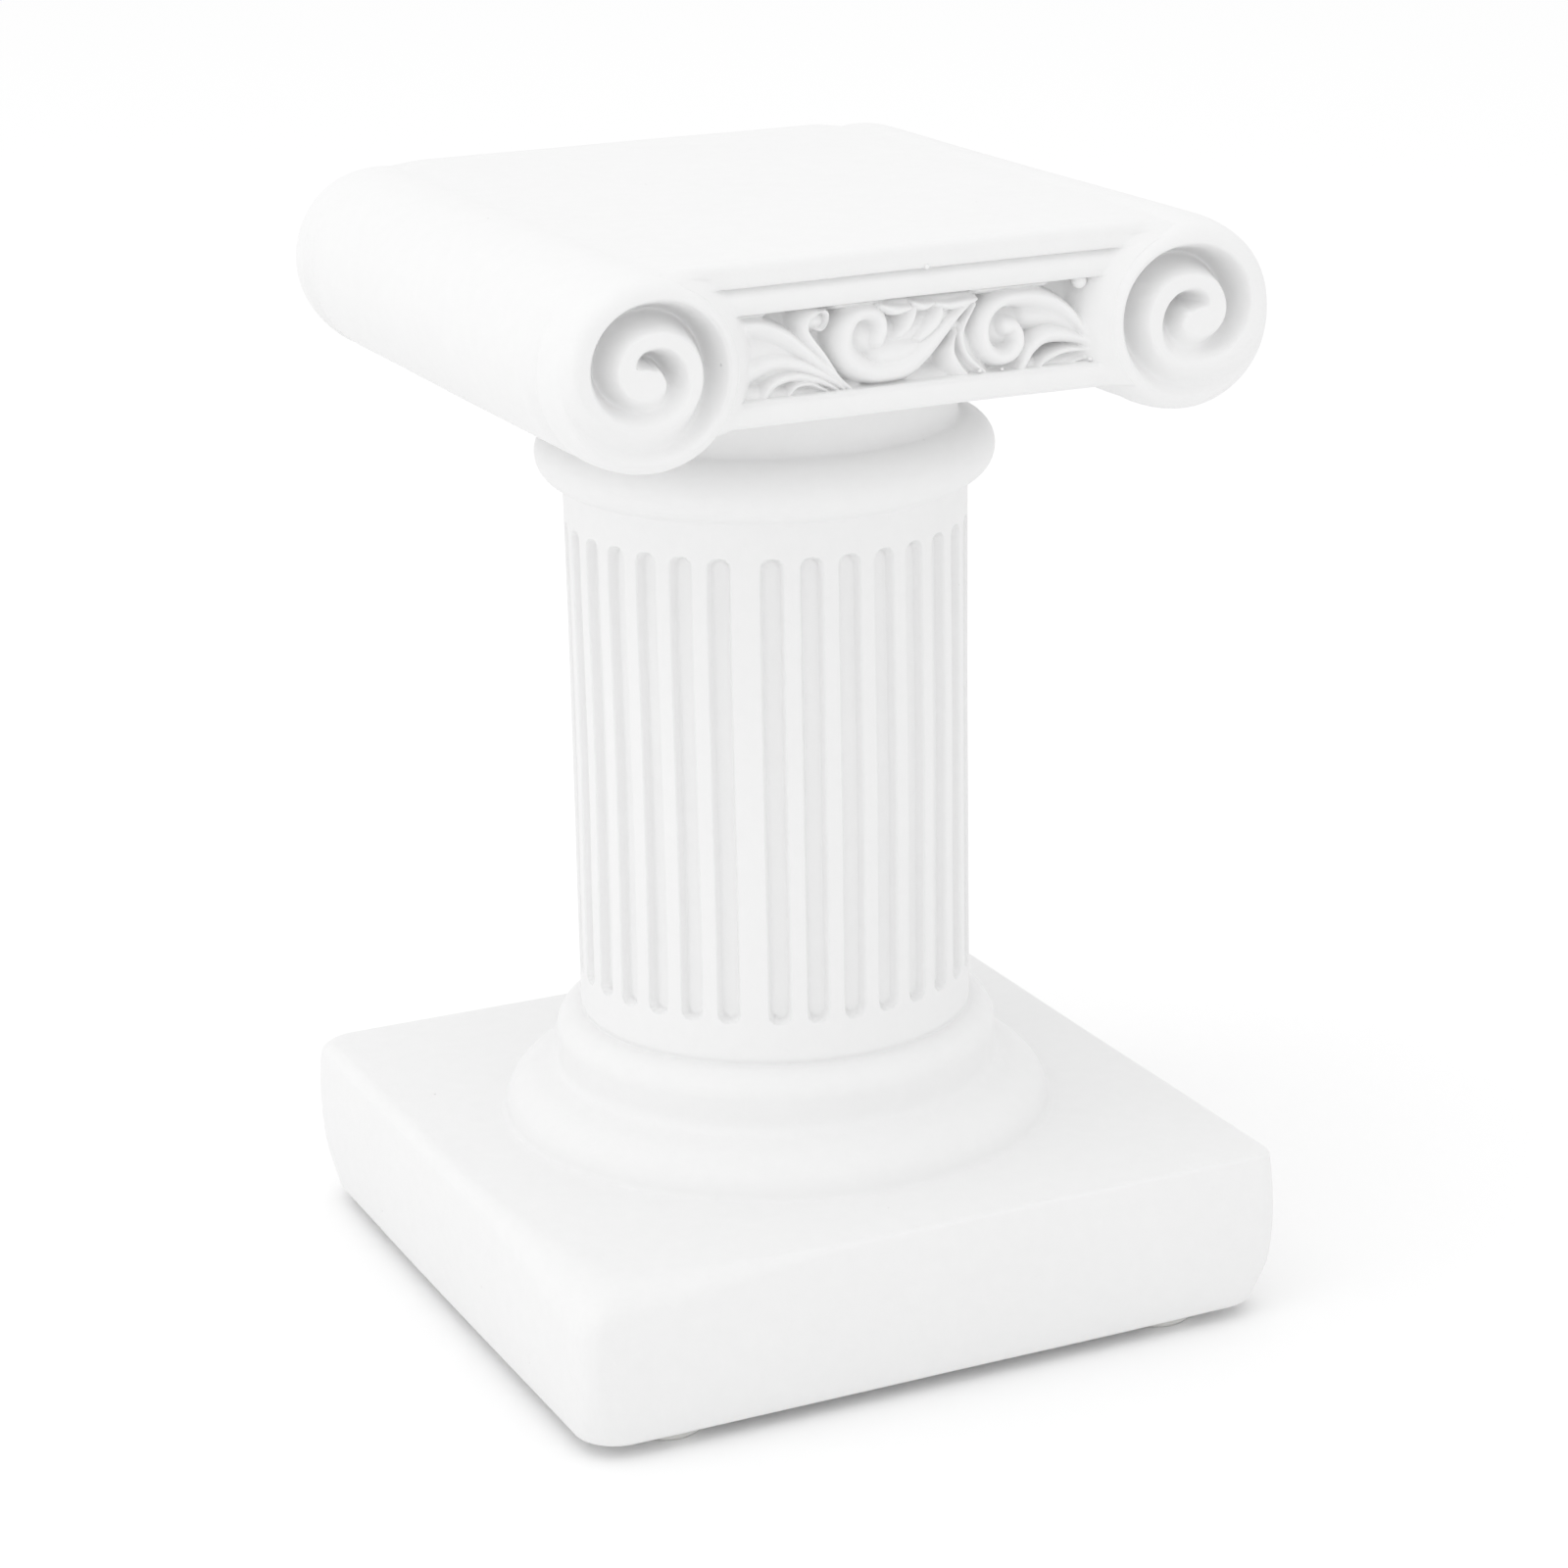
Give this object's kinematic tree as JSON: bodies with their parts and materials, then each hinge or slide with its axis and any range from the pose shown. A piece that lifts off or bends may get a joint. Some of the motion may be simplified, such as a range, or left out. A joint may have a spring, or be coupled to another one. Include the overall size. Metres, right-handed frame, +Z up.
{
  "type": "ionic column ornament",
  "caption": "Small cast column ornament: a square plinth, a fluted shaft and an Ionic capital with coiled volutes and a carved scroll frieze, standing on thin stick-on pads.",
  "frame": {"origin": "on the floor under the middle of the plinth", "axes": "+Z up along the shaft, -Y towards the carved front, +X to the right of the front"},
  "size_m": [0.1012, 0.1012, 0.1496],
  "materials": {
    "plaster": "matte white cast gypsum plaster, unglazed, with fine grain and a few pinholes",
    "pad": "soft, half-clear bumper pad"
  },
  "bodies": {
    "root": {"column": "plaster", "pad_front_left": "pad", "pad_front_right": "pad", "pad_back_left": "pad", "pad_back_right": "pad"}
  },
  "joints": []
}
